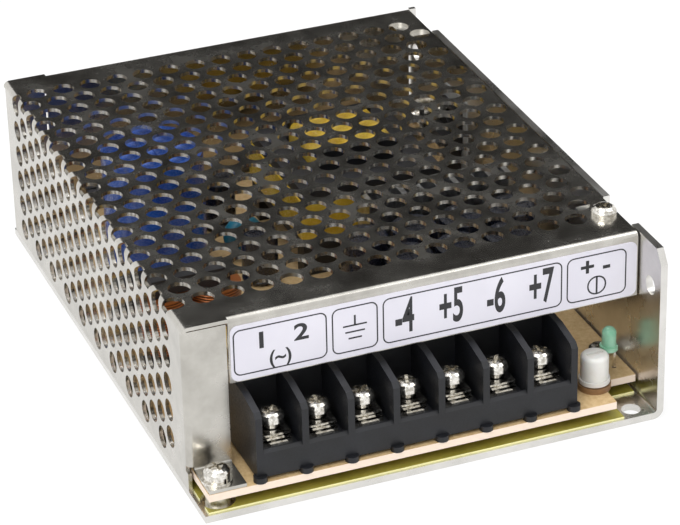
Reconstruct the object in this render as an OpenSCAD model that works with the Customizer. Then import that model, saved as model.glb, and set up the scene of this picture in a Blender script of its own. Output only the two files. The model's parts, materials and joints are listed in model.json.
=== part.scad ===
// Enclosed switching power supply with a perforated folded cover.
// Origin: centre of the footprint, on the underside of the base.
// +X points to the solid chassis wall, -Y to the terminal end, +Z up.

/* [Enclosure] */
// Width over the cover side and the chassis wall
body_w = 98; // [90:1:130]
// Length from the front edge of the base to the rear flap
body_l = 129; // [120:1:170]
// Height of the closed case
body_h = 38; // [37:1:50]
// Thickness of the chassis sheet
chassis_t = 1.5; // [1.2:0.1:2]
// Outside radius of the chassis folds
chassis_bend = 2.2; // [2:0.1:3]
// Thickness of the cover sheet
cover_t = 0.8; // [0.6:0.1:1]
// Outside radius of the cover folds
cover_bend = 1.3; // [1.2:0.1:2]
// Distance from the front edge of the base to the front of the cover
cover_setback = 9.6; // [8:0.2:12]
// Gap between the cover and the chassis wall
cover_gap = 0.3; // [0.2:0.1:0.6]
// Depth of the front flange that carries the label
flange_h = 14.2; // [11:0.1:16]
// Width of the corner flanges folded from the cover side
corner_flange_w = 9; // [8:0.5:12]
// Slot between neighbouring flanges
seam_gap = 0.4; // [0.3:0.1:1]
// Corner cut of the wall at the top of the terminal end
wall_corner = 3; // [1:0.5:6]

/* [Perforation] */
// Diameter of the vent holes
vent_d = 4.6; // [3:0.1:5]
// Spacing of the vent holes along a row
vent_pitch = 6.1; // [5.6:0.1:9]
// Distance from the rear fold to the first row
vent_first_row = 8.9; // [7:0.1:12]
// Distance from the side fold to the first hole of an even row
vent_first_col = 5; // [4.6:0.1:6]
// Extra sheet length taken by the side fold
fold_allowance = 1; // [0.5:0.1:2]
// Plain margin kept in front of the last row
vent_front_margin = 9.8; // [8:0.2:14]
// Plain margin kept beside the outer holes
vent_side_margin = 2.6; // [2.5:0.1:5]

/* [Board] */
// Thickness of the circuit board
board_t = 1.6; // [1.2:0.1:2]
// Height of the round standoffs above the base
standoff_h = 2.5; // [2.5:0.1:5]
// Diameter of the standoffs
standoff_d = 5; // [4.5:0.1:6]
// Gap from the board edge to the cover and the wall
board_gap = 0.4; // [0.3:0.1:1]
// Distance from the front edge of the base to the board
board_setback = 0.8; // [0.5:0.1:2]
// Width of the notch beside the front of the board
notch_w = 8.2; // [6:0.2:12]
// Depth of that notch
notch_l = 8.2; // [6:0.2:12]
// Depth of the notch at the rear of the board
rear_notch_l = 4.4; // [4:0.2:6]
// Thickness of the insulation sheet under the board
film_t = 0.4; // [0.25:0.05:0.5]
// Distance that the insulation sheet reaches past the board edges
film_overhang = 0.3; // [0.2:0.1:0.3]
// Clearance round the standoffs in the insulation sheet
film_hole_gap = 1; // [0.5:0.1:2]
// Distance of the corner standoffs from the board side edges
standoff_inset_x = 2.9; // [2.9:0.1:6]
// Distance of the front corner standoff from the board end
standoff_inset_y = 3.6; // [3:0.1:8]
// Distance of the rear board screws from the board end
rear_screw_inset = 10; // [9:0.5:14]

/* [Terminal block] */
// Spacing of the terminals
way_pitch = 9.525; // [9:0.025:9.6]
// Thickness of the barriers between terminals
barrier_t = 1.4; // [1:0.1:2]
// Depth of the block from front to rear
block_l = 16.5; // [15:0.5:20]
// Height of the block above the board at its rear
block_h = 16.2; // [15:0.1:17.5]
// Height of the barriers above the board at their front edge
barrier_front_h = 14.5; // [12:0.1:15]
// Height of the front lip above the board
lip_h = 6.6; // [6:0.1:8]
// Thickness of the front lip
lip_t = 1.5; // [1:0.1:2]
// Height of the bay floor above the board
floor_h = 5.3; // [4:0.1:5.8]
// Thickness of the rear wall of the block
block_rear_t = 2.5; // [2:0.1:4]
// Height of the feet under the block
block_foot_h = 0.7; // [0.5:0.1:1.5]
// Distance from the board front edge to the block
block_setback = 0.8; // [0.5:0.1:2]
// Distance from the board left edge to the block
block_inset = 10.2; // [9.5:0.1:12]
// Distance from the block front to the screw axes
screw_inset = 6.5; // [6:0.1:8]

/* [Terminal screws] */
// Diameter of the terminal screw shanks
term_screw_d = 2.9; // [2.5:0.1:3.2]
// Diameter of the terminal screw heads
term_head_d = 5.5; // [5:0.1:6]
// Height of the terminal screw heads
term_head_h = 2.1; // [1.8:0.1:2.4]
// Length of the neck showing under each head
term_neck = 1.8; // [1:0.1:2.2]
// Length of the shank below the clamp
term_shank = 4.6; // [4:0.1:5]
// Side of the square clamp plates
clamp_w = 6; // [5.5:0.1:6.8]
// Thickness of each clamp plate stack
clamp_t = 1.3; // [1:0.1:1.6]
// Gap between the clamp and its terminal plate at rest
clamp_rest_gap = 0.3; // [0.2:0.1:0.6]
// Thickness of the terminal plates
plate_t = 0.8; // [0.6:0.1:1]
// Width of the terminal plates
plate_w = 6.4; // [6:0.1:7]
// Width of the tongue at the front of each terminal plate
tongue_w = 3.6; // [3:0.1:5]

/* [Fasteners] */
// Diameter of the case and board screws
screw_d = 2.9; // [2.5:0.1:3]
// Diameter of their heads
screw_head_d = 5.2; // [5:0.1:6]
// Height of their heads
screw_head_h = 1.9; // [1.6:0.1:2.4]
// Clearance hole diameter for those screws
screw_hole_d = 3.3; // [3.2:0.1:3.6]
// Diameter of the mounting holes in base and wall
mount_hole_d = 4; // [3:0.1:4.5]
// Distance of the mounting holes from the ends
mount_hole_end = 3.2; // [3:0.1:5]
// Distance of the base holes from the wall outside
mount_hole_side = 5.7; // [5:0.1:5.9]
// Height of the wall holes above the underside
mount_hole_z = 28.6; // [20:0.2:30]
// Distance of the wall holes from the ends
wall_hole_end = 4.4; // [4:0.1:8]

/* [Trimmer and lamp] */
// Diameter of the trimmer knob
knob_d = 5.8; // [5:0.1:6]
// Height of the trimmer knob
knob_h = 6.3; // [4:0.1:8]
// Thickness of the trimmer base
trim_base_h = 1.2; // [1:0.1:2]
// Diameter of the trimmer spindle
spindle_d = 2; // [1.6:0.1:2.4]
// Radial running clearance of the spindle
spindle_gap = 0.06; // [0.04:0.01:0.1]
// Diameter of the lamp lens
lamp_d = 3; // [3:0.1:3.2]
// Height of the lamp above its flange
lamp_h = 5.2; // [4.5:0.1:6]
// Length of the lamp leads above the board
lamp_lead = 4.6; // [3:0.1:6]

/* [Power parts] */
// Diameter of the bulk capacitor
bulk_d = 22; // [18:0.5:22]
// Height of the bulk capacitor
bulk_h = 28; // [20:0.5:30]
// Side of the transformer core
core_w = 32; // [28:0.5:33]
// Height of the transformer core
core_h = 14; // [12:0.5:16]
// Height of the transformer above the board
transformer_h = 25.5; // [22:0.5:28]
// Diameter of the output capacitors
out_cap_d = 10; // [8:0.5:10]
// Height of the output capacitors
out_cap_h = 20; // [12:0.5:25]
// Thickness of the rectifier heatsink plate
sink_t = 2; // [1.5:0.1:2.5]
// Height of the rectifier heatsink
sink_h = 22; // [16:0.5:26]

/* [Hidden] */
$fn = 40;

// One clamp node and one screw node each
ways = 7;

half_w = body_w / 2;
front = -body_l / 2;
rear = body_l / 2;
wall_in = half_w - chassis_t;
side_in = -half_w + cover_t;
cover_front = front + cover_setback;
cover_right = wall_in - cover_gap;
under_top = body_h - cover_t;
lug_gap = 0.3;
// The corner flanges end here, the top flanges start one seam further
seam_x = -half_w + corner_flange_w;
flange_left = seam_x + seam_gap;
flange_bottom = body_h - flange_h;

// Bare tips of pins and leads under the board
pin_reach = 0.7;
film_z = chassis_t;
film_reach = 1.6;
// The sheet stops just before the inner round of the chassis fold
film_fold_gap = 0.1;
film_right = half_w - chassis_bend - film_fold_gap;
board_z = chassis_t + standoff_h;
board_top = board_z + board_t;
board_left = side_in + board_gap;
board_right = wall_in - board_gap;
board_front = front + board_setback;
board_back = rear - cover_t - lug_gap - chassis_t - board_gap;
pin_end = board_z - pin_reach;
// Standoff positions: the first one carries the cover tab and the ground screw
ground_at = [board_left + standoff_inset_x, board_front + standoff_inset_y];
board_screws_at = [
    [board_left + standoff_inset_x, board_back - rear_screw_inset],
    [board_right - standoff_inset_x, board_back - rear_screw_inset],
    [board_right - standoff_inset_x, board_front + notch_l + 3 * standoff_inset_y]];
standoffs_at = concat([ground_at], board_screws_at);

// Vent lattice, measured from the rear and side folds
row_step = vent_pitch * sqrt(3) / 2;
cover_l = rear - cover_front;
cover_w = cover_right + half_w;
rows = floor((cover_l - vent_first_row - vent_front_margin) / row_step) + 1;
function row_y(j) = rear - vent_first_row - row_step * j;
function first_x(j) = j % 2 == 0 ? vent_first_col : vent_first_col - vent_pitch / 2;
function cols(j) = floor((cover_w - first_x(j) - vent_side_margin) / vent_pitch) + 1;
function first_drop(j) = vent_pitch + fold_allowance - first_x(j);
side_drop_end = body_h - chassis_t - vent_side_margin - 1;
function drops(j) = floor((side_drop_end - first_drop(j)) / vent_pitch) + 1;
// The cover screw takes the last hole of the last odd row
screw_row = rows % 2 == 0 ? rows - 1 : rows - 2;
cover_screw_at = [-half_w + first_x(screw_row) + vent_pitch * (cols(screw_row) - 1), row_y(screw_row)];
ear_w = 12;
ear_gap = 0.2;
ear_d = 8;
ear_relief = 0.5;
rear_ear_y = rear - cover_bend - ear_gap - ear_w / 2;
lug_w = 12;
lug_h = 8;
lugs_x = [seam_x + 14, cover_right - 20];
lug_y = rear - cover_t - lug_gap - chassis_t;

block_x = board_left + block_inset;
block_front = board_front + block_setback;
block_w = ways * way_pitch + barrier_t;
floor_z = board_top + floor_h;
plate_top = floor_z + plate_t;
clamp_z = plate_top + clamp_rest_gap;
screw_y = block_front + screw_inset;
function way_x(i) = block_x + barrier_t / 2 + way_pitch * (i - 0.5);
plate_back = block_front + block_l - block_rear_t - 0.6;
pin_w = 1;
slot_gap = 0.15;

trim_at = [board_right - notch_w - 1.6, board_front + 7.2];
lamp_at = [board_right - 4, board_front + notch_l + 4.4];
lamp_pitch = 2.54;
lead_w = 0.5;
lead_hole = 1;
seat = 0.02;

bulk_at = [board_left + 21, board_back - 32.5];
core_at = [bulk_at[0] + bulk_d / 2 + core_w / 2 + 16, board_back - 35.5];
core_z = board_top + 6.5;
tape_t = 0.4;
package_w = 10;
package_t = 4.5;
package_h = 15;
sink_y = core_at[1] - core_w / 2 - tape_t - package_t - sink_t - 1.5;
sink_x = core_at[0] + 11;
sink_w = 34;
choke_at = [board_left + 14, board_front + 50.5];
coil_d = 11;
coil_h = 12;
transistor_y = board_back - 24;
transistor_z = board_top + 5;
pad_t = 0.3;

// --- shared shapes -------------------------------------------------------

// Rectangle with exact round corners, from corner a to corner b
module rounded_rect(a, b, r) {
    translate([a[0] + r, a[1]]) square([b[0] - a[0] - 2 * r, b[1] - a[1]]);
    translate([a[0], a[1] + r]) square([b[0] - a[0], b[1] - a[1] - 2 * r]);
    for (x = [a[0] + r, b[0] - r]) {
        for (y = [a[1] + r, b[1] - r]) {
            translate([x, y]) circle(r);
        }
    }
}

// Box from its lowest to its highest corner
module block(a, b) {
    translate(a) cube([b[0] - a[0], b[1] - a[1], b[2] - a[2]]);
}

// Quarter of a fold, axis along +X, from the +Y side round to the +Z side
module fold(length, r, t) {
    rotate([90, 0, 90]) linear_extrude(length) intersection() {
        difference() {
            circle(r);
            circle(r - t);
        }
        square(r);
    }
}

// Cross recess cut from the top of a screw head
module cross_recess(d, depth) {
    for (a = [0, 90]) {
        rotate(a) translate([-d / 2, -d / 10, -depth]) cube([d, d / 5, depth + 1]);
    }
}

// Pan head screw: head underside at z = 0, shank downward
module pan_screw(d, length, head_d, head_h, turn = 20) {
    difference() {
        rotate_extrude() {
            polygon([[0, -length], [d / 2 - 0.3, -length], [d / 2, -length + 0.3], [d / 2, 0],
                     [head_d / 2, 0], [head_d / 2, head_h * 0.45], [head_d / 2 - 0.35, head_h * 0.75],
                     [head_d / 2 - 0.9, head_h * 0.93], [head_d / 4, head_h], [0, head_h]]);
        }
        translate([0, 0, head_h]) rotate(turn) cross_recess(head_d * 0.62, head_h * 0.55);
    }
}

// Radial can with a rolled rim, a bead above the base and a vent cross
module can(d, h, bead = 2.2) {
    difference() {
        rotate_extrude() {
            polygon([[0, 0], [d / 2 - 0.5, 0], [d / 2, 0.5], [d / 2, bead - 0.7], [d / 2 - 0.5, bead],
                     [d / 2, bead + 0.7], [d / 2, h - 0.6], [d / 2 - 0.6, h], [d / 2 - 1.4, h],
                     [d / 2 - 1.8, h - 0.4], [0, h - 0.4]]);
        }
        for (a = [0, 90]) {
            rotate(a) translate([-d * 0.3, -0.15, h - 0.65]) cube([d * 0.6, 0.3, 1]);
        }
    }
}

// Transistor package standing on its leads: tab face at y = 0, body toward -Y
module package() {
    difference() {
        union() {
            block([-package_w / 2, -1.3, 5.5], [package_w / 2, 0, package_h]);
            block([-package_w / 2, -package_t, 0], [package_w / 2, -0.5, package_h - 6]);
        }
        translate([0, 1, package_h - 2.9]) rotate([90, 0, 0]) cylinder(d = 3.6, h = 4);
    }
}

// --- case ----------------------------------------------------------------

module base_outline() {
    difference() {
        translate([-half_w, front]) square([body_w - chassis_bend, body_l]);
        for (s = [-1, 1]) {
            translate([half_w - mount_hole_side, s * (body_l / 2 - mount_hole_end)]) circle(d = mount_hole_d);
        }
        for (p = standoffs_at) translate(p) circle(d = standoff_d - 0.8);
    }
}

module wall_outline() {
    difference() {
        polygon([[front, chassis_bend], [rear, chassis_bend], [rear, body_h],
                 [front + wall_corner * 0.7, body_h], [front, body_h - wall_corner]]);
        for (s = [-1, 1]) {
            translate([s * (body_l / 2 - wall_hole_end), mount_hole_z]) circle(d = mount_hole_d);
        }
        for (y = [cover_screw_at[1], rear_ear_y]) {
            translate([y - ear_w / 2 - ear_relief, body_h - chassis_bend - ear_relief])
                square([ear_w + 2 * ear_relief, chassis_bend + 1]);
        }
        translate([transistor_y + package_w / 2 + 4, transistor_z + 9]) circle(d = screw_hole_d);
    }
}

// Ear folded inward from the top of the wall, under the cover
module ear(y, hole) {
    difference() {
        union() {
            translate([0, y + ear_w / 2, 0]) {
                translate([wall_in - chassis_bend + chassis_t, 0, under_top - chassis_bend])
                    rotate(-90) fold(ear_w, chassis_bend, chassis_t);
            }
            block([wall_in + chassis_t - ear_d, y - ear_w / 2, under_top - chassis_t],
                  [half_w - chassis_bend, y + ear_w / 2, under_top]);
            block([wall_in, y - ear_w / 2, body_h - chassis_bend - ear_relief - 1],
                  [half_w, y + ear_w / 2, under_top - chassis_bend]);
        }
        if (hole) translate([cover_screw_at[0], y, under_top - 3]) cylinder(d = screw_hole_d, h = 5);
    }
}

module chassis() {
    color("gainsboro") {
        linear_extrude(chassis_t) base_outline();
        translate([half_w - chassis_bend, rear, chassis_bend])
            mirror([0, 0, 1]) rotate(-90) fold(body_l, chassis_bend, chassis_t);
        translate([wall_in, 0, 0]) rotate([90, 0, 90]) linear_extrude(chassis_t) wall_outline();
        ear(cover_screw_at[1], true);
        ear(rear_ear_y, false);
        // Lugs turned up just inside the rear flap keep its foot in line
        for (x = lugs_x) {
            block([x - lug_w / 2, lug_y, 0], [x + lug_w / 2, lug_y + chassis_t, lug_h]);
        }
    }
}

module top_sheet() {
    translate([0, 0, under_top]) linear_extrude(cover_t) difference() {
        translate([-half_w + cover_bend, cover_front])
            square([cover_w - cover_bend, cover_l]);
        // Front and rear fold strips are cut back to the fold start
        translate([flange_left, cover_front - 1]) square([cover_w, 1 + cover_bend]);
        translate([flange_left, rear - cover_bend]) square([cover_w, 1 + cover_bend]);
        for (j = [0:rows - 1]) {
            for (i = [(first_x(j) < vent_d / 2 + cover_bend ? 1 : 0):cols(j) - 1]) {
                translate([-half_w + first_x(j) + vent_pitch * i, row_y(j)])
                    circle(d = j == screw_row && i == cols(j) - 1 ? screw_hole_d : vent_d);
            }
        }
    }
}

module side_sheet() {
    translate([-half_w, 0, 0]) rotate([90, 0, 90]) linear_extrude(cover_t) difference() {
        union() {
            translate([cover_front, chassis_t]) square([cover_l - cover_bend, board_top - chassis_t]);
            translate([cover_front + cover_bend, chassis_t])
                square([cover_l - 2 * cover_bend, body_h - cover_bend - chassis_t]);
        }
        for (j = [0:rows - 1]) {
            for (k = [(first_drop(j) < vent_d / 2 + cover_bend ? 1 : 0):drops(j) - 1]) {
                translate([row_y(j), body_h - first_drop(j) - vent_pitch * k]) circle(d = vent_d);
            }
        }
    }
}

// Flange folded inward from the cover side at one end; dir is -1 in front
module corner_flange(y, dir, bottom) {
    top = under_top - 0.2;
    translate([-half_w + cover_bend, y - dir * cover_bend, bottom]) {
        rotate([0, 0, dir < 0 ? 180 : 90]) linear_extrude(top - bottom) intersection() {
            difference() {
                circle(cover_bend);
                circle(cover_bend - cover_t);
            }
            square(cover_bend);
        }
    }
    y_a = min(y, y - dir * cover_t);
    block([-half_w + cover_bend, y_a, bottom], [seam_x, y_a + cover_t, top]);
}

// Tab folded forward from the front corner flange, lying on the board
module foot_tab() {
    inner = cover_bend - cover_t;
    tab_end = board_front + 0.1;
    translate([-half_w + cover_bend, cover_front - inner, board_top + cover_t + inner])
        rotate([180, 0, 0]) mirror([0, 1, 0]) fold(seam_x + half_w - cover_bend, cover_bend, cover_t);
    translate([0, 0, board_top]) linear_extrude(cover_t) difference() {
        translate([-half_w + cover_bend, tab_end])
            square([seam_x + half_w - cover_bend, cover_front - inner - tab_end]);
        translate(ground_at) circle(d = screw_hole_d);
    }
}

module cover() {
    color("dimgray") difference() {
        union() {
            top_sheet();
            side_sheet();
            // Fold between top and side
            translate([-half_w + cover_bend, cover_front, body_h - cover_bend])
                rotate(90) fold(cover_l, cover_bend, cover_t);
            // Front flange and its fold
            translate([flange_left, cover_front + cover_bend, body_h - cover_bend])
                mirror([0, 1, 0]) fold(cover_right - flange_left, cover_bend, cover_t);
            block([flange_left, cover_front, flange_bottom],
                  [cover_right, cover_front + cover_t, body_h - cover_bend]);
            // Rear flap and its fold
            translate([flange_left, rear - cover_bend, body_h - cover_bend])
                fold(cover_right - flange_left, cover_bend, cover_t);
            block([flange_left, rear - cover_t, chassis_t + cover_gap],
                  [cover_right, rear, body_h - cover_bend]);
            corner_flange(cover_front, -1, board_top + cover_bend);
            corner_flange(rear, 1, chassis_t);
            foot_tab();
        }
        // Vent holes that run into the fold
        for (j = [0:rows - 1]) {
            if (first_x(j) < vent_d / 2 + cover_bend) {
                translate([-half_w + first_x(j), row_y(j), body_h - cover_bend])
                    cylinder(d = vent_d, h = cover_bend + 1);
            }
            if (first_drop(j) < vent_d / 2 + cover_bend) {
                translate([-half_w - 1, row_y(j), body_h - first_drop(j)])
                    rotate([0, 90, 0]) cylinder(d = vent_d, h = cover_bend + 1);
            }
        }
    }
}

module terminal_label() {
    label_t = 0.2;
    label_margin = 0.3;
    color("lavender") translate([0, cover_front, 0]) rotate([90, 0, 0]) linear_extrude(label_t)
        rounded_rect([flange_left + label_margin, flange_bottom + label_margin],
                     [cover_right - label_margin, body_h - cover_bend - 0.5], 1.5);
}

module cover_screw() {
    color("silver") translate([cover_screw_at[0], cover_screw_at[1], body_h])
        pan_screw(screw_d, 4, screw_head_d, screw_head_h);
}

// --- board stack ---------------------------------------------------------

// Board outline grown by g, notched above both mounting holes of the base
module board_outline(g) {
    difference() {
        translate([board_left - g, board_front - g])
            square([board_right - board_left + 2 * g, board_back - board_front + 2 * g]);
        translate([board_right - notch_w + g, board_front - g - 1])
            square([notch_w + 1, notch_l + 1]);
        translate([board_right - notch_w + g, board_back + g - rear_notch_l])
            square([notch_w + 1, rear_notch_l + 1]);
    }
}

module insulation_sheet() {
    color("olive") translate([0, 0, film_z]) linear_extrude(film_t) difference() {
        union() {
            board_outline(film_overhang);
            // The sheet reaches a little further into the notch than the board
            translate([board_left - film_overhang, board_front - film_overhang])
                square([board_right - notch_w + film_reach - board_left + film_overhang, notch_l]);
        }
        translate([film_right, front]) square([body_w, body_l]);
        for (p = standoffs_at) translate(p) circle(d = standoff_d + 2 * film_hole_gap);
    }
}

module circuit_board() {
    color("tan") translate([0, 0, board_z]) linear_extrude(board_t) difference() {
        board_outline(0);
        for (p = standoffs_at) translate(p) circle(d = screw_hole_d);
        for (i = [1:ways]) translate([way_x(i), plate_back - pin_w / 2]) circle(d = pin_w * 1.8);
        for (s = [-1, 1]) translate([lamp_at[0] + s * lamp_pitch / 2, lamp_at[1]]) circle(d = lead_hole);
    }
}

module board_standoffs() {
    color("gold") for (p = standoffs_at) {
        translate([p[0], p[1], 0]) difference() {
            union() {
                translate([0, 0, chassis_t]) cylinder(d = standoff_d, h = standoff_h);
                // Pressed spigot, flush with the underside
                cylinder(d = standoff_d - 0.8 - seat, h = chassis_t);
            }
            translate([0, 0, -1]) cylinder(d = screw_d + 0.2, h = chassis_t + standoff_h + 2);
        }
    }
}

module board_screws() {
    color("silver") for (p = board_screws_at) {
        translate([p[0], p[1], board_top]) pan_screw(screw_d, 5, screw_head_d, screw_head_h, 35);
    }
}

tab_top = board_top + cover_t;
flat_washer_t = 0.5;
lock_washer_t = 0.8;

module ring(d_out, d_in, h) {
    difference() {
        cylinder(d = d_out, h = h);
        translate([0, 0, -1]) cylinder(d = d_in, h = h + 2);
    }
}

module ground_flat_washer() {
    color("silver") translate([ground_at[0], ground_at[1], tab_top])
        ring(screw_head_d + 1, screw_hole_d, flat_washer_t);
}

// Split spring washer, its ends standing apart at the cut
module ground_lock_washer() {
    color("silver") translate([ground_at[0], ground_at[1], tab_top + flat_washer_t]) difference() {
        ring(screw_head_d, screw_hole_d, lock_washer_t);
        rotate([0, 18, -70]) translate([0, -0.25, -1]) cube([screw_head_d, 0.5, lock_washer_t + 3]);
    }
}

module ground_screw() {
    color("silver")
        translate([ground_at[0], ground_at[1], tab_top + flat_washer_t + lock_washer_t])
            pan_screw(screw_d, 6, screw_head_d, screw_head_h, 10);
}

// --- terminal block ------------------------------------------------------

// Section of the block through a barrier
module barrier_section() {
    y = block_front;
    translate([0, board_top]) polygon([
        [y, block_foot_h], [y + block_l, block_foot_h], [y + block_l, block_h],
        [y + block_l * 0.45, block_h], [y + 1, barrier_front_h + 0.5], [y, barrier_front_h - 0.5]]);
}

// Section through a bay: lip, floor and rear wall
module bay_section() {
    y = block_front;
    translate([0, board_top]) polygon([
        [y, block_foot_h], [y + block_l, block_foot_h], [y + block_l, block_h - 1],
        [y + block_l - 1, block_h], [y + block_l - block_rear_t, block_h],
        [y + block_l - block_rear_t, floor_h], [y + lip_t, floor_h],
        [y + lip_t, lip_h - 0.5], [y + lip_t - 0.5, lip_h], [y + 0.6, lip_h], [y, lip_h - 0.6]]);
}

module across(x, w) {
    translate([x, 0, 0]) rotate([90, 0, 90]) linear_extrude(w) children();
}

module terminal_block() {
    color([0.07, 0.08, 0.1]) difference() {
        union() {
            across(block_x, block_w) bay_section();
            for (i = [0:ways]) {
                across(block_x + way_pitch * i, barrier_t) barrier_section();
                translate([block_x + way_pitch * i + barrier_t / 2, block_front + 0.2, board_top])
                    cylinder(r = barrier_t, h = block_foot_h + 0.5);
            }
        }
        for (i = [1:ways]) {
            // Well under the screw
            translate([way_x(i), screw_y, floor_z - 4.2]) cylinder(d = term_screw_d + 1, h = 6);
            // Slot for the solder pin of the terminal plate
            block([way_x(i) - pin_w / 2 - slot_gap, plate_back - pin_w - slot_gap, board_top],
                  [way_x(i) + pin_w / 2 + slot_gap, plate_back + slot_gap, floor_z + 1]);
        }
    }
}

module terminal_plates() {
    tongue_len = 2;
    color("silver") for (i = [1:ways]) {
        translate([way_x(i), 0, 0]) difference() {
            union() {
                block([-plate_w / 2, screw_y - plate_w / 2, floor_z], [plate_w / 2, plate_back, plate_top]);
                // Tongue sloping up and forward over the lip
                translate([-tongue_w / 2, screw_y - plate_w / 2 + 0.3, floor_z]) rotate([-14, 0, 0])
                    translate([0, -tongue_len, 0]) cube([tongue_w, tongue_len, plate_t]);
                block([-pin_w / 2, plate_back - pin_w, pin_end], [pin_w / 2, plate_back, floor_z + 0.1]);
            }
            translate([0, screw_y, floor_z - 1]) cylinder(d = term_screw_d + 0.4, h = 4);
        }
    }
}

// Double square clamp plate with a groove round its edge
module clamp(i) {
    groove = 0.3;
    color("silver") translate([way_x(i), screw_y, clamp_z]) difference() {
        translate([-clamp_w / 2, -clamp_w / 2, 0]) cube([clamp_w, clamp_w, clamp_t]);
        translate([0, 0, (clamp_t - groove) / 2]) difference() {
            translate([-clamp_w, -clamp_w, 0]) cube([2 * clamp_w, 2 * clamp_w, groove]);
            cylinder(d = clamp_w - 0.8, h = groove);
        }
        translate([0, 0, -1]) cylinder(d = term_screw_d + 0.7, h = clamp_t + 2);
    }
}

module terminal_screw(i) {
    color("silver") translate([way_x(i), screw_y, clamp_z + clamp_t + term_neck])
        pan_screw(term_screw_d, term_neck + clamp_t + term_shank - 1, term_head_d, term_head_h, 15 + 37 * i);
}

// --- trimmer and lamp ----------------------------------------------------

module trimmer_base() {
    color("burlywood") translate([trim_at[0], trim_at[1], board_top]) {
        difference() {
            cylinder(d = knob_d + 1, h = trim_base_h);
            translate([0, 0, -1]) cylinder(d = spindle_d + 2 * spindle_gap, h = trim_base_h + 2);
        }
    }
}

module trimmer_knob() {
    base = trim_base_h + 0.3;
    color("white") translate([trim_at[0], trim_at[1], board_top]) difference() {
        rotate_extrude() {
            translate([0, 0.2]) square([spindle_d / 2, base]);
            translate([0, base]) square([knob_d / 2 + 0.3, 0.9]);
            translate([0, base]) square([knob_d / 2, knob_h - 0.9]);
            translate([0, base + knob_h - 0.9]) square([knob_d / 2 - 0.9, 0.9]);
            intersection() {
                translate([knob_d / 2 - 0.9, base + knob_h - 0.9]) circle(0.9);
                translate([0, base + knob_h - 1]) square([knob_d / 2, 1]);
            }
        }
        translate([-knob_d * 0.32, -0.35, base + knob_h - 0.5]) cube([knob_d * 0.64, 0.7, 1]);
    }
}

module status_led() {
    flange_d = lamp_d + 0.8;
    color([0.3, 0.8, 0.5, 0.8]) translate([lamp_at[0], lamp_at[1], board_top + lamp_lead]) difference() {
        union() {
            cylinder(d = flange_d, h = 1);
            cylinder(d = lamp_d, h = lamp_h - lamp_d / 2);
            translate([0, 0, lamp_h - lamp_d / 2]) sphere(d = lamp_d);
        }
        // Flat on the cathode side of the flange
        translate([lamp_d / 2 + 0.1, -flange_d, -1]) cube([1, 2 * flange_d, 2.2]);
    }
}

module led_leads() {
    color("silver") for (s = [-1, 1]) {
        x = lamp_at[0] + s * lamp_pitch / 2;
        block([x - lead_w / 2, lamp_at[1] - lead_w / 2, pin_end],
              [x + lead_w / 2, lamp_at[1] + lead_w / 2, board_top + lamp_lead]);
    }
}

// --- power parts on the board --------------------------------------------

module bulk_capacitor() {
    color("royalblue") translate([bulk_at[0], bulk_at[1], board_top]) can(bulk_d, bulk_h);
}

leg_w = 6;
window_l = core_w - 2 * leg_w;
window_w = window_l;
centre_leg_d = 9;

// Ferrite pair lying flat: two outer legs, two backs and a round centre leg
module transformer_core() {
    color("darkslategray") translate([core_at[0], core_at[1], core_z]) {
        linear_extrude(core_h) difference() {
            square(core_w, center = true);
            square([window_w, window_l], center = true);
        }
        translate([0, -window_l / 2, core_h / 2]) rotate([-90, 0, 0]) cylinder(d = centre_leg_d, h = window_l);
    }
}

bobbin_gap = 0.3;
bobbin_t = 1.2;
floor_t = 2;
tube_d = centre_leg_d + 2 * bobbin_gap + 2 * bobbin_t;
wire_gap = 0.05;

// Tube on the centre leg with end cheeks and two pin rails
module transformer_bobbin() {
    cheek_w = window_w - 2 * bobbin_gap;
    cheek_l = window_l / 2 - bobbin_gap;
    rail = 4;
    color([0.1, 0.1, 0.1]) translate([core_at[0], core_at[1], 0]) {
        difference() {
            union() {
                translate([0, cheek_l, core_z + core_h / 2]) rotate([90, 0, 0])
                    cylinder(d = tube_d, h = 2 * cheek_l);
                for (y = [-cheek_l, cheek_l - bobbin_t]) {
                    block([-cheek_w / 2, y, board_top + bobbin_gap],
                          [cheek_w / 2, y + bobbin_t, board_top + transformer_h]);
                }
            }
            translate([0, cheek_l + 1, core_z + core_h / 2]) rotate([90, 0, 0])
                cylinder(d = centre_leg_d + 2 * bobbin_gap, h = 2 * cheek_l + 2);
        }
        for (y = [-core_w / 2, core_w / 2 - rail]) {
            block([-core_w / 2, y, board_top], [core_w / 2, y + rail, core_z]);
        }
        block([-cheek_w / 2, -core_w / 2, board_top], [cheek_w / 2, core_w / 2, board_top + floor_t]);
    }
}

module transformer_winding() {
    w = window_w - 2 * bobbin_gap;
    l = window_l - 2 * bobbin_gap - 2 * bobbin_t - 2 * wire_gap;
    color("gold") translate([core_at[0], core_at[1] + l / 2, 0]) rotate([90, 0, 0]) linear_extrude(l)
        difference() {
            rounded_rect([-w / 2, board_top + floor_t + bobbin_gap], [w / 2, board_top + transformer_h], 3.5);
            translate([0, core_z + core_h / 2]) circle(d = tube_d + 2 * wire_gap);
        }
}

// Yellow tape round the outside of the core
module transformer_tape() {
    tape_h = 9;
    color("gold") translate([core_at[0], core_at[1], core_z + (core_h - tape_h) / 2])
        linear_extrude(tape_h) difference() {
            square(core_w + 2 * tape_t, center = true);
            square(core_w, center = true);
        }
}

frame_w = 5;
frame_h = 21;
coil_x = 5.9;

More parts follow.
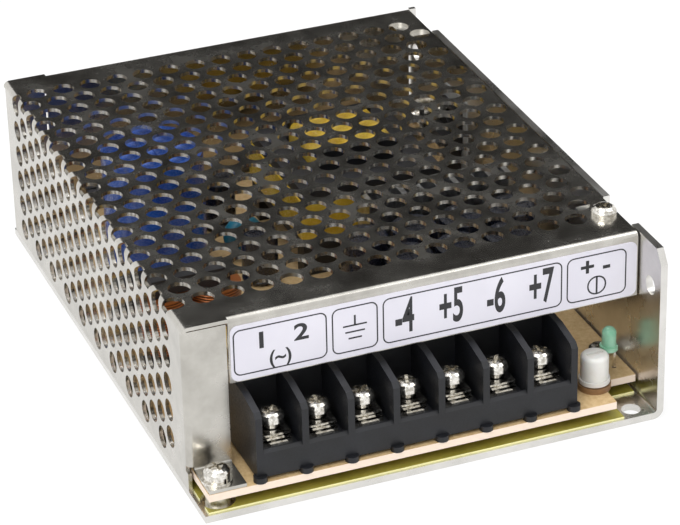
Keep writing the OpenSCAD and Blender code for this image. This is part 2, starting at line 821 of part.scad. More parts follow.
// Ferrite frame standing on end, its legs through both coils
module line_choke_core() {
    color([0.15, 0.15, 0.16]) translate([choke_at[0], choke_at[1] + frame_w / 2, board_top])
        rotate([90, 0, 0]) linear_extrude(frame_w) difference() {
            translate([-coil_x - frame_w / 2, 1]) square([2 * coil_x + frame_w, frame_h - 1]);
            translate([-coil_x + frame_w / 2, 1 + frame_w * 0.7])
                square([2 * coil_x - frame_w, frame_h - 1 - frame_w * 1.4]);
        }
    color([0.15, 0.15, 0.16]) translate([choke_at[0], choke_at[1], board_top]) {
        block([-coil_x - frame_w / 2 - 1, -frame_w / 2 - 1, 0], [coil_x + frame_w / 2 + 1, frame_w / 2 + 1, 1]);
    }
}

module line_choke_windings() {
    color("peru") for (s = [-1, 1]) {
        translate([choke_at[0] + s * (coil_x - 0.15), choke_at[1], board_top + 5]) difference() {
            intersection() {
                cylinder(d = coil_d, h = coil_h);
                translate([s > 0 ? -coil_x + 0.35 : -coil_d, -coil_d, 0])
                    cube([coil_d + coil_x - 0.35, 2 * coil_d, coil_h]);
            }
            translate([s * 0.15 - frame_w / 2 - 0.1, -frame_w / 2 - 0.1, -1])
                cube([frame_w + 0.2, frame_w + 0.2, coil_h + 2]);
        }
    }
}

module x_capacitor() {
    color("khaki") translate([0, 0, board_top]) linear_extrude(14)
        rounded_rect([board_left + 5, board_front + 29], [board_left + 23, board_front + 37], 0.6);
}

// Disc standing on two leads, its faces toward -Y and +Y
module disc_part(at, d, t) {
    translate([at[0], at[1], board_top]) {
        translate([0, t / 2, d / 2 + 1.2]) rotate([90, 0, 0]) rotate_extrude() {
            square([d / 2 - t / 2, t]);
            translate([d / 2 - t / 2, t / 2]) circle(t / 2);
        }
        for (s = [-1, 1]) {
            block([s * d / 4 - 0.3, -0.3, 0], [s * d / 4 + 0.3, 0.3, d / 2]);
        }
    }
}

y_caps_at = [[board_left + 34, board_front + 48], [bulk_at[0] + bulk_d / 2 + 7, board_back - 38]];

module y_capacitors() {
    color("teal") for (p = y_caps_at) disc_part(p, 9, 3.6);
}

thermistor_at = [board_left + 30.5, board_front + 30];

module inrush_thermistor() {
    color("darkolivegreen") disc_part(thermistor_at, 11, 3.8);
}

module line_fuse() {
    x = board_left + 30.5;
    y = board_front + 22.5;
    r = 2.6;
    color("ivory") translate([x - 10, y, board_top + r + 0.6]) rotate([0, 90, 0]) {
        cylinder(r = r - 0.2, h = 20);
        for (z = [0, 15]) translate([0, 0, z]) cylinder(r = r, h = 5);
    }
    color("silver") for (s = [-1, 1]) {
        block([x + s * 7.5 - 0.8, y - 0.5, board_top], [x + s * 7.5 + 0.8, y + 0.5, board_top + 1.5]);
    }
}

module bridge_rectifier() {
    at = [board_left + 10, board_front + 66];
    color([0.12, 0.12, 0.12]) {
        translate([at[0] - 7.5, at[1] + 1.75, board_top]) rotate([90, 0, 0]) linear_extrude(3.5)
            polygon([[0, 2], [15, 2], [15, 13], [2, 13], [0, 11]]);
        for (i = [0:3]) {
            block([at[0] - 6 + i * 3.8, at[1] - 0.4, board_top], [at[0] - 5.2 + i * 3.8, at[1] + 0.4, board_top + 2.2]);
        }
    }
}

// Leads of a standing package, from its body into the board
module package_leads(z) {
    for (s = [-1, 0, 1]) {
        block([s * 2.54 - 0.4, -2.7, board_top], [s * 2.54 + 0.4, -2.1, z + 0.2]);
    }
}

module switching_transistor() {
    color([0.15, 0.15, 0.15]) translate([wall_in - pad_t, transistor_y, 0]) rotate(-90) {
        translate([0, 0, transistor_z]) package();
        package_leads(transistor_z);
    }
}

module transistor_pad() {
    color("lightgray") block([wall_in - pad_t, transistor_y - 7, transistor_z - 2],
                             [wall_in, transistor_y + 7, transistor_z + 18]);
}

bar_x = wall_in - pad_t - package_t;
bar_screw_at = [transistor_y + package_w / 2 + 4, transistor_z + 9];

// Bar pressing the transistor on the wall, with a foot that stands off the wall
module transistor_clamp() {
    bar_h = 6;
    bar_t = 1.2;
    foot_end = transistor_y + package_w / 2 + 8;
    color("lightsteelblue") difference() {
        union() {
            block([bar_x - bar_t, transistor_y - 5, transistor_z + 1.5],
                  [bar_x, foot_end, transistor_z + 1.5 + bar_h]);
            block([bar_x - bar_t, transistor_y + package_w / 2 + 1.5, transistor_z + 1.5],
                  [bar_x, foot_end, bar_screw_at[1] + 3.5]);
            block([bar_x - bar_t, foot_end - bar_t, transistor_z + 1.5], [wall_in, foot_end, bar_screw_at[1] + 3.5]);
        }
        translate([bar_x - 3, bar_screw_at[0], bar_screw_at[1]]) rotate([0, 90, 0])
            cylinder(d = screw_hole_d, h = 5);
    }
}

module clamp_bar_screw() {
    color("silver") translate([bar_x - 1.2, bar_screw_at[0], bar_screw_at[1]]) rotate([0, -90, 0])
        pan_screw(screw_d, half_w - bar_x + 1.2, screw_head_d, screw_head_h);
}

// Upright plate with fins toward the output end
module rectifier_heatsink() {
    fin_pitch = 4;
    fin_l = 5;
    fin_t = 1.2;
    fins = floor((sink_w - fin_t) / fin_pitch) + 1;
    color("silver") translate([sink_x, sink_y, board_top]) linear_extrude(sink_h) {
        translate([-sink_w / 2, 0]) square([sink_w, sink_t]);
        for (i = [0:fins - 1]) {
            translate([-sink_w / 2 + i * fin_pitch, -fin_l]) square([fin_t, fin_l + 0.1]);
        }
    }
}

module output_rectifiers() {
    color([0.15, 0.15, 0.15]) for (s = [-1, 1]) {
        translate([sink_x + s * 8, sink_y + sink_t, 0]) rotate(180) {
            translate([0, 0, board_top + 5]) package();
            package_leads(board_top + 5);
        }
    }
}

out_caps_at = [for (r = [0:1]) for (i = [0:3 - r])
    [board_right - 8 - (out_cap_d + 1.2) * (i + r * 0.5), sink_y - 13.5 - (out_cap_d + 1) * r]];

module output_capacitors() {
    color("silver") for (p = out_caps_at) translate([p[0], p[1], board_top]) can(out_cap_d, out_cap_h, 1.8);
}

coil_at = [board_left + 50, board_front + 27.5];

module output_choke_core() {
    color("goldenrod") translate([coil_at[0], coil_at[1], board_top + 2.3]) ring(15, 8, 7);
    color("goldenrod") translate([coil_at[0], coil_at[1], board_top]) cylinder(d = 5, h = 11);
    color("goldenrod") translate([coil_at[0], coil_at[1], board_top]) cylinder(d = 14, h = 0.8);
}

module output_choke_winding() {
    turns = 14;
    color("chocolate") translate([coil_at[0], coil_at[1], board_top + 1.1]) difference() {
        ring(17.4, 5.6, 9.4);
        translate([0, 0, 1.1]) ring(15.1, 7.9, 7.2);
        for (i = [0:turns - 1]) {
            rotate(i * 360 / turns) translate([8.7, 0, -1]) cylinder(d = 1, h = 12);
        }
    }
}

opto_at = [[board_left + 44, board_front + 43], [board_left + 44, board_front + 53]];

module optocouplers() {
    color([0.1, 0.1, 0.1]) for (p = opto_at) {
        block([p[0] - 3.2, p[1] - 2.3, board_top + 0.5], [p[0] + 3.2, p[1] + 2.3, board_top + 4]);
        for (sx = [-1, 1]) {
            for (sy = [-1, 1]) {
                block([p[0] + sx * 3.2 - 0.4, p[1] + sy * 1.27 - 0.3, board_top],
                      [p[0] + sx * 3.2 + 0.4, p[1] + sy * 1.27 + 0.3, board_top + 2.2]);
            }
        }
    }
}

small_caps_at = [[bulk_at[0] + bulk_d / 2 + 7, bulk_at[1] + 11], [bulk_at[0] + bulk_d / 2 + 7, bulk_at[1] - 16]];

module auxiliary_capacitors() {
    color("navy") for (p = small_caps_at) translate([p[0], p[1], board_top]) can(8, 12, 1.6);
}

chassis();
cover();
terminal_label();
insulation_sheet();
circuit_board();
board_standoffs();
board_screws();
ground_screw();
ground_lock_washer();
ground_flat_washer();
cover_screw();
terminal_block();
terminal_plates();
clamp(1);  // clamp_1
clamp(2);  // clamp_2
clamp(3);  // clamp_3
clamp(4);  // clamp_4
clamp(5);  // clamp_5
clamp(6);  // clamp_6
clamp(7);  // clamp_7
terminal_screw(1);  // terminal_screw_1
terminal_screw(2);  // terminal_screw_2
terminal_screw(3);  // terminal_screw_3
terminal_screw(4);  // terminal_screw_4
terminal_screw(5);  // terminal_screw_5
terminal_screw(6);  // terminal_screw_6
terminal_screw(7);  // terminal_screw_7
trimmer_base();
trimmer_knob();
status_led();
led_leads();
bulk_capacitor();
transformer_core();
transformer_bobbin();
transformer_winding();
transformer_tape();
line_choke_core();
line_choke_windings();
x_capacitor();
y_capacitors();
inrush_thermistor();
line_fuse();
bridge_rectifier();
switching_transistor();
transistor_pad();
transistor_clamp();
clamp_bar_screw();
rectifier_heatsink();
output_rectifiers();
output_capacitors();
output_choke_core();
output_choke_winding();
optocouplers();
auxiliary_capacitors();
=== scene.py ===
import json
import math

import bmesh
import bpy
from mathutils import Euler, Matrix, Vector


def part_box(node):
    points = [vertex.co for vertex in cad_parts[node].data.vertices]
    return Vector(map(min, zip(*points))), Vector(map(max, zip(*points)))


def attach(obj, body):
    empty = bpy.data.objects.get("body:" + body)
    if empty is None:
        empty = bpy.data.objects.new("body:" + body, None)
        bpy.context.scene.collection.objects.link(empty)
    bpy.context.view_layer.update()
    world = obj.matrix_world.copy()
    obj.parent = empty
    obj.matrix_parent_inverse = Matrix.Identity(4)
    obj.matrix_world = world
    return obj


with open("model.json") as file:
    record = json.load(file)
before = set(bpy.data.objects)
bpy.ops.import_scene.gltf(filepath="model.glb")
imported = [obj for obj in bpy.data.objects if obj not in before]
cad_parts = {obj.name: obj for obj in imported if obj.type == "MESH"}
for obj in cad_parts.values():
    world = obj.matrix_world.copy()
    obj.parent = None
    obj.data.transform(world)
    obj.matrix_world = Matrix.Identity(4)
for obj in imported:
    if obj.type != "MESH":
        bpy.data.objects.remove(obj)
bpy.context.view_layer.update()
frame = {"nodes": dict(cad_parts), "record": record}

mm = 0.001
housing = "housing"  # the body that everything fixed belongs to

# Fitted to the photograph: lens in millimetres, turn in degrees about X, Y and Z
cameraSettings = {
    "place": (-0.20596, -0.55012, 0.33532),
    "turn": (61.3127, 1.2010, -21.6013),
    "lens": 167.36,
    "sensor": 36,
    "farthest": 20,
}


def makeCamera(settings):
    data = bpy.data.cameras.new("camera")
    data.lens = settings["lens"]
    data.sensor_width = settings["sensor"]
    data.clip_end = settings["farthest"]
    camera = bpy.data.objects.new("camera", data)
    bpy.context.scene.collection.objects.link(camera)
    turn = Euler([math.radians(angle) for angle in settings["turn"]]).to_matrix().to_4x4()
    camera.matrix_world = Matrix.Translation(settings["place"]) @ turn
    bpy.context.scene.camera = camera


makeCamera(cameraSettings)
print("camera placed")


def meshPiece(name, shape):
    data = bpy.data.meshes.new(name)
    shape.to_mesh(data)
    shape.free()
    thing = bpy.data.objects.new(name, data)
    bpy.context.scene.collection.objects.link(thing)
    return thing


def linearColour(hexText):
    channels = [int(hexText[i:i + 2], 16) / 255 for i in (1, 3, 5)]
    return [c / 12.92 if c <= 0.04045 else ((c + 0.055) / 1.055) ** 2.4 for c in channels] + [1.0]


def addNode(tree, kind, settings=None, links=None):
    node = tree.nodes.new(kind)
    for key, value in (settings or {}).items():
        if isinstance(key, int) or key in node.inputs:
            node.inputs[key].default_value = value
        else:
            setattr(node, key, value)
    for key, source in (links or {}).items():
        tree.links.new(source, node.inputs[key])
    return node


def startMaterial(name):
    material = bpy.data.materials.new(name)
    material.use_nodes = True
    tree = material.node_tree
    tree.nodes.clear()
    output = addNode(tree, "ShaderNodeOutputMaterial")
    shader = addNode(tree, "ShaderNodeBsdfPrincipled")
    tree.links.new(shader.outputs[0], output.inputs[0])
    return material, tree, shader


def objectPlace(tree):
    return addNode(tree, "ShaderNodeTexCoord").outputs["Object"]


def grey(level):
    return (level, level, level, 1)


def ramp(tree, source, positions, colours):
    node = addNode(tree, "ShaderNodeValToRGB", {}, {0: source})
    for element, position, colour in zip(node.color_ramp.elements, positions, colours):
        element.position = position
        element.color = colour
    return node.outputs[0]


def twoTones(tree, pattern, settings, positions=(0.35, 0.65)):
    return ramp(tree, pattern, positions, (linearColour(settings["dark"]), linearColour(settings["light"])))


def setGloss(tree, shader, pattern, settings):
    low, high = settings["rough"]
    tree.links.new(ramp(tree, pattern, (0.3, 0.7), (grey(low), grey(high))), shader.inputs["Roughness"])


def setBump(tree, shader, height, strength, depth):
    bump = addNode(tree, "ShaderNodeBump", {"Strength": strength, "Distance": depth}, {"Height": height})
    tree.links.new(bump.outputs[0], shader.inputs["Normal"])


def setConstants(shader, settings, names):
    for name in names:
        if name in settings:
            shader.inputs[name].default_value = settings[name]


# How deep each kind of relief is at full strength
relief = {"roll": 0.02 * mm, "grain": 0.03 * mm, "dent": 0.05 * mm, "wire": 0.25 * mm}


def platedSheet(name, settings):
    # Rolled steel with bright zinc plating: cloudy gloss and faint rolling lines along Y
    material, tree, shader = startMaterial(name)
    place = objectPlace(tree)
    cloud = addNode(tree, "ShaderNodeTexNoise",
                    {"Scale": 1 / settings["cloud"], "Detail": 5, "Roughness": 0.6}, {"Vector": place})
    stretch = addNode(tree, "ShaderNodeMapping", {"Scale": (1, settings["stretch"], 1)}, {"Vector": place})
    roll = addNode(tree, "ShaderNodeTexNoise", {"Scale": 1 / settings["roll"], "Detail": 3},
                   {"Vector": stretch.outputs[0]})
    tree.links.new(twoTones(tree, cloud.outputs[0], settings), shader.inputs["Base Color"])
    setGloss(tree, shader, cloud.outputs[0], settings)
    setBump(tree, shader, roll.outputs[0], settings["bump"], relief["roll"])
    shader.inputs["Metallic"].default_value = 1
    return material


def nickelPlate(name, settings):
    # Bright nickel over stamped or turned steel: small dents keep the gloss uneven
    material, tree, shader = startMaterial(name)
    dents = addNode(tree, "ShaderNodeTexNoise", {"Scale": 1 / settings["dent"], "Detail": 4},
                    {"Vector": objectPlace(tree)})
    tree.links.new(twoTones(tree, dents.outputs[0], settings, (0.35, 0.6)), shader.inputs["Base Color"])
    setGloss(tree, shader, dents.outputs[0], settings)
    setBump(tree, shader, dents.outputs[0], settings["bump"], relief["dent"])
    shader.inputs["Metallic"].default_value = 1
    return material


# What a plain moulding has where its own settings don't say otherwise
mouldingDefaults = {"drift": 6 * mm, "grain": 0.35 * mm, "bump": 0.15, "speckSpacing": 1.6 * mm,
                    "speckEdge": (0.03, 0.06)}


def plainMoulding(name, ownSettings):
    # Moulded, dipped or sleeved plastic: fine grain, slight colour drift and dust specks where named
    settings = mouldingDefaults | ownSettings
    material, tree, shader = startMaterial(name)
    place = objectPlace(tree)
    drift = addNode(tree, "ShaderNodeTexNoise", {"Scale": 1 / settings["drift"], "Detail": 4},
                    {"Vector": place})
    colour = twoTones(tree, drift.outputs[0], settings)
    if "specks" in settings:
        dust = addNode(tree, "ShaderNodeTexVoronoi", {"Scale": 1 / settings["speckSpacing"]},
                       {"Vector": place})
        mask = ramp(tree, dust.outputs["Distance"], settings["speckEdge"], (grey(1), grey(0)))
        colour = addNode(tree, "ShaderNodeMix", {"data_type": "RGBA", 7: linearColour(settings["specks"])},
                         {0: mask, 6: colour}).outputs[2]
    tree.links.new(colour, shader.inputs["Base Color"])
    grain = addNode(tree, "ShaderNodeTexNoise", {"Scale": 1 / settings["grain"], "Detail": 2},
                    {"Vector": place})
    setGloss(tree, shader, grain.outputs[0], settings)
    setBump(tree, shader, grain.outputs[0], settings["bump"], relief["grain"])
    setConstants(shader, settings, ("IOR", "Transmission Weight", "Subsurface Weight", "Coat Weight"))
    return material


def edgedLaminate(name, settings):
    # Flat sheet with a paler colour on its cut edges: a real paler cut edge on the board laminate, and a
    # painted highlight of caught light on the polyester sheet's edges
    material, tree, shader = startMaterial(name)
    place = addNode(tree, "ShaderNodeTexCoord")
    fibre = addNode(tree, "ShaderNodeTexNoise",
                    {"Scale": 1 / settings["fibre"], "Detail": 6, "Roughness": 0.65},
                    {"Vector": place.outputs["Object"]})
    parts = addNode(tree, "ShaderNodeSeparateXYZ", {}, {0: place.outputs["Normal"]})
    flatness = addNode(tree, "ShaderNodeMath", {"operation": "ABSOLUTE"}, {0: parts.outputs[2]})
    # Side faces take the edge colour: the board's real cut edge, and a painted edge highlight on the
    # polyester sheet
    paleEdgeAndGlowMask = addNode(tree, "ShaderNodeMath", {"operation": "LESS_THAN", 1: 0.5}, {0: flatness.outputs[0]})
    colour = addNode(tree, "ShaderNodeMix", {"data_type": "RGBA", 7: linearColour(settings["edge"])},
                     {0: paleEdgeAndGlowMask.outputs[0], 6: twoTones(tree, fibre.outputs[0], settings)})
    tree.links.new(colour.outputs[2], shader.inputs["Base Color"])
    setBump(tree, shader, fibre.outputs[0], settings["bump"], relief["grain"])
    setConstants(shader, settings, ("Roughness", "Coat Weight"))
    return material


def woundWire(name, settings):
    # Enamelled wire: round turns a wire width apart, glossy clear coat over copper, with painted shade in the
    # grooves between turns
    material, tree, shader = startMaterial(name)
    bandsPerMetre = 20 / (2 * math.pi)  # what a wave texture draws at scale 1
    wave = addNode(tree, "ShaderNodeTexWave",
                   {"wave_type": "BANDS", "bands_direction": "Z", "Distortion": 0.6, "Detail": 1,
                    "Scale": 1 / (settings["wire"] * bandsPerMetre)},
                   {"Vector": objectPlace(tree)})
    # The dark tone at the band troughs is painted shade in the grooves between turns
    tree.links.new(twoTones(tree, wave.outputs[0], settings, (0.1, 0.6)), shader.inputs["Base Color"])
    setBump(tree, shader, wave.outputs[0], settings["bump"], relief["wire"])
    setConstants(shader, settings, ("Metallic", "Roughness", "Coat Weight"))
    return material


zincChassis = {"dark": "#d2d0cb", "light": "#e9e7e3", "rough": (0.22, 0.36), "cloud": 14 * mm,
               "roll": 0.5 * mm, "stretch": 0.04, "bump": 0.08}
zincCover = {"dark": "#b7b4ad", "light": "#cfccc5", "rough": (0.2, 0.3), "cloud": 9 * mm,
             "roll": 0.4 * mm, "stretch": 0.04, "bump": 0.08}
nickelSteel = {"dark": "#b9b4aa", "light": "#eeebe4", "rough": (0.1, 0.26), "dent": 0.7 * mm, "bump": 0.25}
nickelBrass = {"dark": "#a7a294", "light": "#cfcabb", "rough": (0.25, 0.4), "dent": 0.9 * mm, "bump": 0.15}
aluminium = {"dark": "#b4b6b8", "light": "#d0d2d4", "rough": (0.28, 0.42), "dent": 1.2 * mm, "bump": 0.12}
labelFilm = {"dark": "#d5d3dd", "light": "#dedce5", "rough": (0.42, 0.5), "bump": 0.04, "drift": 20 * mm}
glassNylon = {"dark": "#08090d", "light": "#101218", "rough": (0.4, 0.55), "specks": "#2c323e", "bump": 0.3}
whiteNylon = {"dark": "#dcd6cf", "light": "#ece8e3", "rough": (0.3, 0.4), "Subsurface Weight": 0.1}
phenolic = {"dark": "#7a5a3c", "light": "#a07c55", "rough": (0.4, 0.55)}
castResin = {"dark": "#7cc9a2", "light": "#b4e8cd", "rough": (0.12, 0.2), "Transmission Weight": 0.2,
             "IOR": 1.54, "bump": 0.05}
blueSleeve = {"dark": "#1c3f8c", "light": "#2a57ad", "rough": (0.22, 0.32), "Coat Weight": 0.3}
darkSleeve = {"dark": "#15171f", "light": "#232735", "rough": (0.22, 0.32), "Coat Weight": 0.3}
ferrite = {"dark": "#1d1d1f", "light": "#2b2b2e", "rough": (0.5, 0.7), "grain": 0.2 * mm, "bump": 0.4}
yellowTape = {"dark": "#c7a12e", "light": "#e3c34e", "rough": (0.2, 0.3), "Coat Weight": 0.4}
yellowCase = {"dark": "#c9a23a", "light": "#dcb74c", "rough": (0.35, 0.45)}
dippedCeramic = {"dark": "#1d5f78", "light": "#2b7d97", "rough": (0.25, 0.4)}
dippedThermistor = {"dark": "#33402a", "light": "#4b5a3c", "rough": (0.35, 0.5)}
glazedTube = {"dark": "#d8d2c2", "light": "#e8e3d5", "rough": (0.15, 0.25)}
epoxy = {"dark": "#131314", "light": "#1f1f21", "rough": (0.45, 0.6), "bump": 0.3}
silicone = {"dark": "#9a9d9f", "light": "#aeb1b3", "rough": (0.6, 0.75)}
coatedPowder = {"dark": "#c9a634", "light": "#e0c04d", "rough": (0.35, 0.5)}
# The polyester sheet's near-white edge colour is a painted highlight of light caught in its cut edges
polyesterSheet = {"dark": "#8d8633", "light": "#a39b47", "edge": "#f3eeb0", "fibre": 12 * mm,
                  "bump": 0.12, "Roughness": 0.22, "Coat Weight": 0.3}
paperLaminate = {"dark": "#bf9f70", "light": "#d3b88b", "edge": "#ead8c6", "fibre": 1.1 * mm,
                 "bump": 0.12, "Roughness": 0.42}
# The dark copper tone is painted shade in the grooves between wire turns
copperWire = {"dark": "#5a2b12", "light": "#b56a35", "wire": 0.6 * mm, "bump": 0.8,
              "Metallic": 0.6, "Roughness": 0.28, "Coat Weight": 0.5}
screenInk = {"dark": "#1b1b1e", "light": "#29292d", "rough": (0.4, 0.5), "bump": 0.05}

materials = {
    "chassis_sheet": platedSheet("bright zinc plated steel chassis", zincChassis),
    "cover_sheet": platedSheet("zinc plated steel cover", zincCover),
    "plated_steel": nickelPlate("bright nickel plate", nickelSteel),
    "standoff_brass": nickelPlate("dull nickel plated brass", nickelBrass),
    "sink_aluminium": nickelPlate("extruded aluminium", aluminium),
    "label_film": plainMoulding("printed polyester label", labelFilm),
    "block_plastic": plainMoulding("glass filled moulded nylon", glassNylon),
    "knob_plastic": plainMoulding("white moulded nylon", whiteNylon),
    "phenolic": plainMoulding("brown phenolic moulding", phenolic),
    "lamp_resin": plainMoulding("clear green cast resin", castResin),
    "blue_sleeve": plainMoulding("blue shrink sleeve", blueSleeve),
    "black_sleeve": plainMoulding("dark shrink sleeve", darkSleeve),
    "ferrite": plainMoulding("sintered ferrite", ferrite),
    "yellow_tape": plainMoulding("yellow polyester tape", yellowTape),
    "yellow_box": plainMoulding("yellow moulded case", yellowCase),
    "disc_coating": plainMoulding("blue dipped ceramic", dippedCeramic),
    "thermistor_coating": plainMoulding("green dipped thermistor", dippedThermistor),
    "fuse_ceramic": plainMoulding("glazed fuse tube", glazedTube),
    "package_epoxy": plainMoulding("moulded epoxy package", epoxy),
    "silicone_pad": plainMoulding("grey silicone pad", silicone),
    "core_coating": plainMoulding("coated iron powder core", coatedPowder),
    "insulation_film": edgedLaminate("translucent polyester sheet", polyesterSheet),
    "board_laminate": edgedLaminate("bare paper laminate", paperLaminate),
    "copper_wire": woundWire("enamelled copper wire", copperWire),
    "ink": plainMoulding("black screen ink", screenInk),
}

for entry in frame["record"]["subparts"]:
    thing = frame["nodes"][entry["node"]]
    thing.data.materials.clear()
    thing.data.materials.append(materials[entry["material_slot"]])

# Print on the label: plain numbers and signs. Each sign has its name, its characters and its place, and
# places and sizes below "boxes" are millimetres across (X) and up (Z) on the label's face.
labelPrint = {
    "depth": 0.02 * mm,
    "line": 0.28 * mm,
    "stroke": 0.022,  # added on each side of a letter's stroke, as a share of its size
    "corner": 1.5 * mm,
    "cornerSteps": 6,
    "low": 25.2 * mm,
    "high": 35.3 * mm,
    "boxes": [(-38.8, -19.5), (-18.5, -8.9), (-7.9, 30.5), (31.5, 44.6)],
    "signs": [
        {"size": (6.4, 5.0), "marks": [("labelWay1", "1", -33.0, 31.9), ("labelWay2", "2", -24.8, 31.9)]},
        {"size": (3.9, 4.2), "marks": [("labelWaves", "(~)", -29.2, 27.6)]},
        {"size": (5.0, 10.6), "marks": [("labelWay4", "-4", -3.3, 30.25), ("labelWay5", "+5", 6.6, 30.25),
                                        ("labelWay6", "-6", 16.2, 30.25), ("labelWay7", "+7", 25.9, 30.25)]},
        {"size": (5.6, 5.6), "marks": [("labelAdjust0", "+", 36.0, 32.4), ("labelAdjust1", "-", 40.2, 32.4)]},
    ],
    "dial": {"at": (38.1, 28.2), "size": 4.2, "corner": 2.0, "line": 0.34, "pointer": (0.4, 4.0)},
    "earth": {"stem": (0.4, 2.2, 32.1), "bars": [(5.0, 31.0), (4.1, 29.6), (2.8, 28.2)], "barHeight": 0.34},
}
upright = Matrix.Rotation(math.radians(90), 4, "X")


def finishInk(thing):
    thing.data.materials.append(materials["ink"])
    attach(thing, housing)


def flatRectangle(width, height):
    shape = bmesh.new()
    bmesh.ops.create_grid(shape, x_segments=1, y_segments=1, size=0.5)
    bmesh.ops.scale(shape, vec=(width, height, 1), verts=shape.verts)
    return shape


def solidInk(name, shape, place):
    lifted = bmesh.ops.extrude_face_region(shape, geom=list(shape.faces))["geom"]
    raised = [part for part in lifted if isinstance(part, bmesh.types.BMVert)]
    bmesh.ops.translate(shape, vec=(0, 0, labelPrint["depth"]), verts=raised)
    bmesh.ops.transform(shape, matrix=Matrix.Translation(place) @ upright, verts=shape.verts)
    bmesh.ops.recalc_face_normals(shape, faces=shape.faces)
    finishInk(meshPiece(name, shape))


def inkRing(name, width, height, corner, line, place):
    shape = flatRectangle(width, height)
    bmesh.ops.bevel(shape, geom=list(shape.verts), offset=corner, segments=labelPrint["cornerSteps"],
                    profile=0.5, affect="VERTICES", material=-1, offset_type="OFFSET")
    rim = bmesh.ops.inset_region(shape, faces=list(shape.faces), thickness=line, use_even_offset=True,
                                 use_boundary=True)["faces"]
    middle = [face for face in shape.faces if face not in set(rim)]
    bmesh.ops.delete(shape, geom=middle, context="FACES")
    solidInk(name, shape, place)


def inkBar(name, width, height, place):
    solidInk(name, flatRectangle(width, height), place)


def inkText(name, words, size, place):
    curve = bpy.data.curves.new(name, "FONT")
    curve.body = words
    curve.align_x = "CENTER"
    curve.align_y = "CENTER"
    curve.extrude = labelPrint["depth"] / 2
    curve.offset = labelPrint["stroke"]
    source = bpy.data.objects.new(name + "Curve", curve)
    bpy.context.scene.collection.objects.link(source)
    data = bpy.data.meshes.new_from_object(source)
    bpy.data.objects.remove(source)
    data.name = name
    scale = Matrix.Diagonal((size[0] * mm, size[1] * mm, 1, 1))
    data.transform(Matrix.Translation(place) @ upright @ scale)
    thing = bpy.data.objects.new(name, data)
    bpy.context.scene.collection.objects.link(thing)
    finishInk(thing)


def printLabel(settings):
    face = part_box("terminal_label")[0][1]

    def onLabel(across, up):
        return (across * mm, face, up * mm)

    height = settings["high"] - settings["low"]
    middle = (settings["low"] + settings["high"]) / 2 / mm
    for number, (left, right) in enumerate(settings["boxes"]):
        inkRing(f"labelBox{number}", (right - left) * mm, height, settings["corner"], settings["line"],
                onLabel((left + right) / 2, middle))
    for group in settings["signs"]:
        for name, words, across, up in group["marks"]:
            inkText(name, words, group["size"], onLabel(across, up))
    dial = settings["dial"]
    inkRing("labelDial", dial["size"] * mm, dial["size"] * mm, dial["corner"] * mm, dial["line"] * mm,
            onLabel(*dial["at"]))
    width, length = dial["pointer"]
    inkBar("labelPointer", width * mm, length * mm, onLabel(*dial["at"]))
    earth = settings["earth"]
    across = sum(settings["boxes"][1]) / 2
    width, length, up = earth["stem"]
    inkBar("earthStem", width * mm, length * mm, onLabel(across, up))
    for number, (width, up) in enumerate(earth["bars"]):
        inkBar(f"earthBar{number}", width * mm, earth["barHeight"] * mm, onLabel(across, up))


printLabel(labelPrint)
print("label printed")

# A white room that lights evenly, and a paper floor that stays white but keeps the object's shadow
stageSettings = {"diffuseLevel": 0.8, "floorHalf": 6, "paper": (0.9, 0.9, 0.9, 1), "paperRoughness": 0.9,
                 "glowShare": 0.8}


def seenRays(tree):
    # 1 for camera, glossy and transmission rays alike, so that gloss and glass see the same white
    path = addNode(tree, "ShaderNodeLightPath")
    direct = addNode(tree, "ShaderNodeMath", {"operation": "MAXIMUM"},
                     {0: path.outputs["Is Camera Ray"], 1: path.outputs["Is Transmission Ray"]})
    either = addNode(tree, "ShaderNodeMath", {"operation": "MAXIMUM"},
                     {0: direct.outputs[0], 1: path.outputs["Is Glossy Ray"]})
    return either.outputs[0]


def makeRoom(settings):
    room = bpy.data.worlds.new("white room")
    bpy.context.scene.world = room
    room.use_nodes = True
    tree = room.node_tree
    tree.nodes.clear()
    level = addNode(tree, "ShaderNodeMapRange", {"To Min": settings["diffuseLevel"], "To Max": 1.0},
                    {0: seenRays(tree)})
    background = addNode(tree, "ShaderNodeBackground", {"Color": (1, 1, 1, 1)},
                         {"Strength": level.outputs[0]})
    addNode(tree, "ShaderNodeOutputWorld", {}, {0: background.outputs[0]})


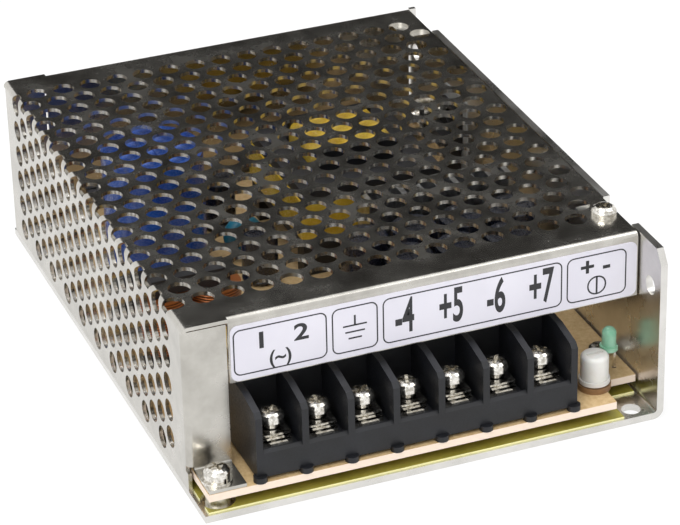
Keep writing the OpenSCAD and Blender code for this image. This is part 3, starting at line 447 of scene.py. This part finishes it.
def makeFloor(settings):
    shape = bmesh.new()
    bmesh.ops.create_grid(shape, x_segments=1, y_segments=1, size=settings["floorHalf"])
    floor = meshPiece("floor", shape)
    material, tree, shader = startMaterial("matt white paper")
    shader.inputs["Base Color"].default_value = settings["paper"]
    shader.inputs["Roughness"].default_value = settings["paperRoughness"]
    glow = addNode(tree, "ShaderNodeEmission", {"Color": (1, 1, 1, 1), "Strength": 1.0})
    share = addNode(tree, "ShaderNodeMath", {"operation": "MULTIPLY", 1: settings["glowShare"]},
                    {0: seenRays(tree)})
    both = addNode(tree, "ShaderNodeMixShader", {},
                   {0: share.outputs[0], 1: shader.outputs[0], 2: glow.outputs[0]})
    tree.links.new(both.outputs[0], tree.nodes["Material Output"].inputs[0])
    floor.data.materials.append(material)


def facing(place):
    # Turns a sheet or lamp that lies at place so that it looks at the origin
    return Vector(place).to_track_quat("Z", "Y").to_matrix().to_4x4()


darkCard = {"size": 1.5, "distance": 1.6, "direction": (0.3136, 0.8193, 0.48), "colour": "#15130f"}


def makeDarkCard(settings):
    # A dark card above and behind, seen only in the gloss of the metal
    shape = bmesh.new()
    bmesh.ops.create_grid(shape, x_segments=1, y_segments=1, size=settings["size"] / 2)
    place = Vector(settings["direction"]).normalized() * settings["distance"]
    bmesh.ops.transform(shape, matrix=Matrix.Translation(place) @ facing(place), verts=shape.verts)
    card = meshPiece("darkCard", shape)
    material, _, shader = startMaterial("dark card")
    shader.inputs["Base Color"].default_value = linearColour(settings["colour"])
    shader.inputs["Roughness"].default_value = 1
    card.data.materials.append(material)
    card.visible_camera = False
    card.visible_diffuse = False
    card.visible_shadow = False
    card.visible_transmission = False


lamps = {
    "leftFront": {"place": (-0.9, -0.9, 1.2), "size": 0.9, "power": 9},
    "rightTop": {"place": (0.9, -0.2, 1.3), "size": 0.8, "power": 5},
    "overhead": {"place": (-0.1, 0.1, 1.2), "size": 0.4, "power": 7},
}


def makeLamps(settings):
    for name, lamp in settings.items():
        data = bpy.data.lights.new(name, "AREA")
        data.shape = "SQUARE"
        data.size = lamp["size"]
        data.energy = lamp["power"]
        thing = bpy.data.objects.new(name, data)
        bpy.context.scene.collection.objects.link(thing)
        thing.matrix_world = Matrix.Translation(lamp["place"]) @ facing(lamp["place"])


makeRoom(stageSettings)
makeFloor(stageSettings)
makeDarkCard(darkCard)
makeLamps(lamps)
bpy.context.scene.view_settings.view_transform = "Standard"
print("stage and lamps placed")
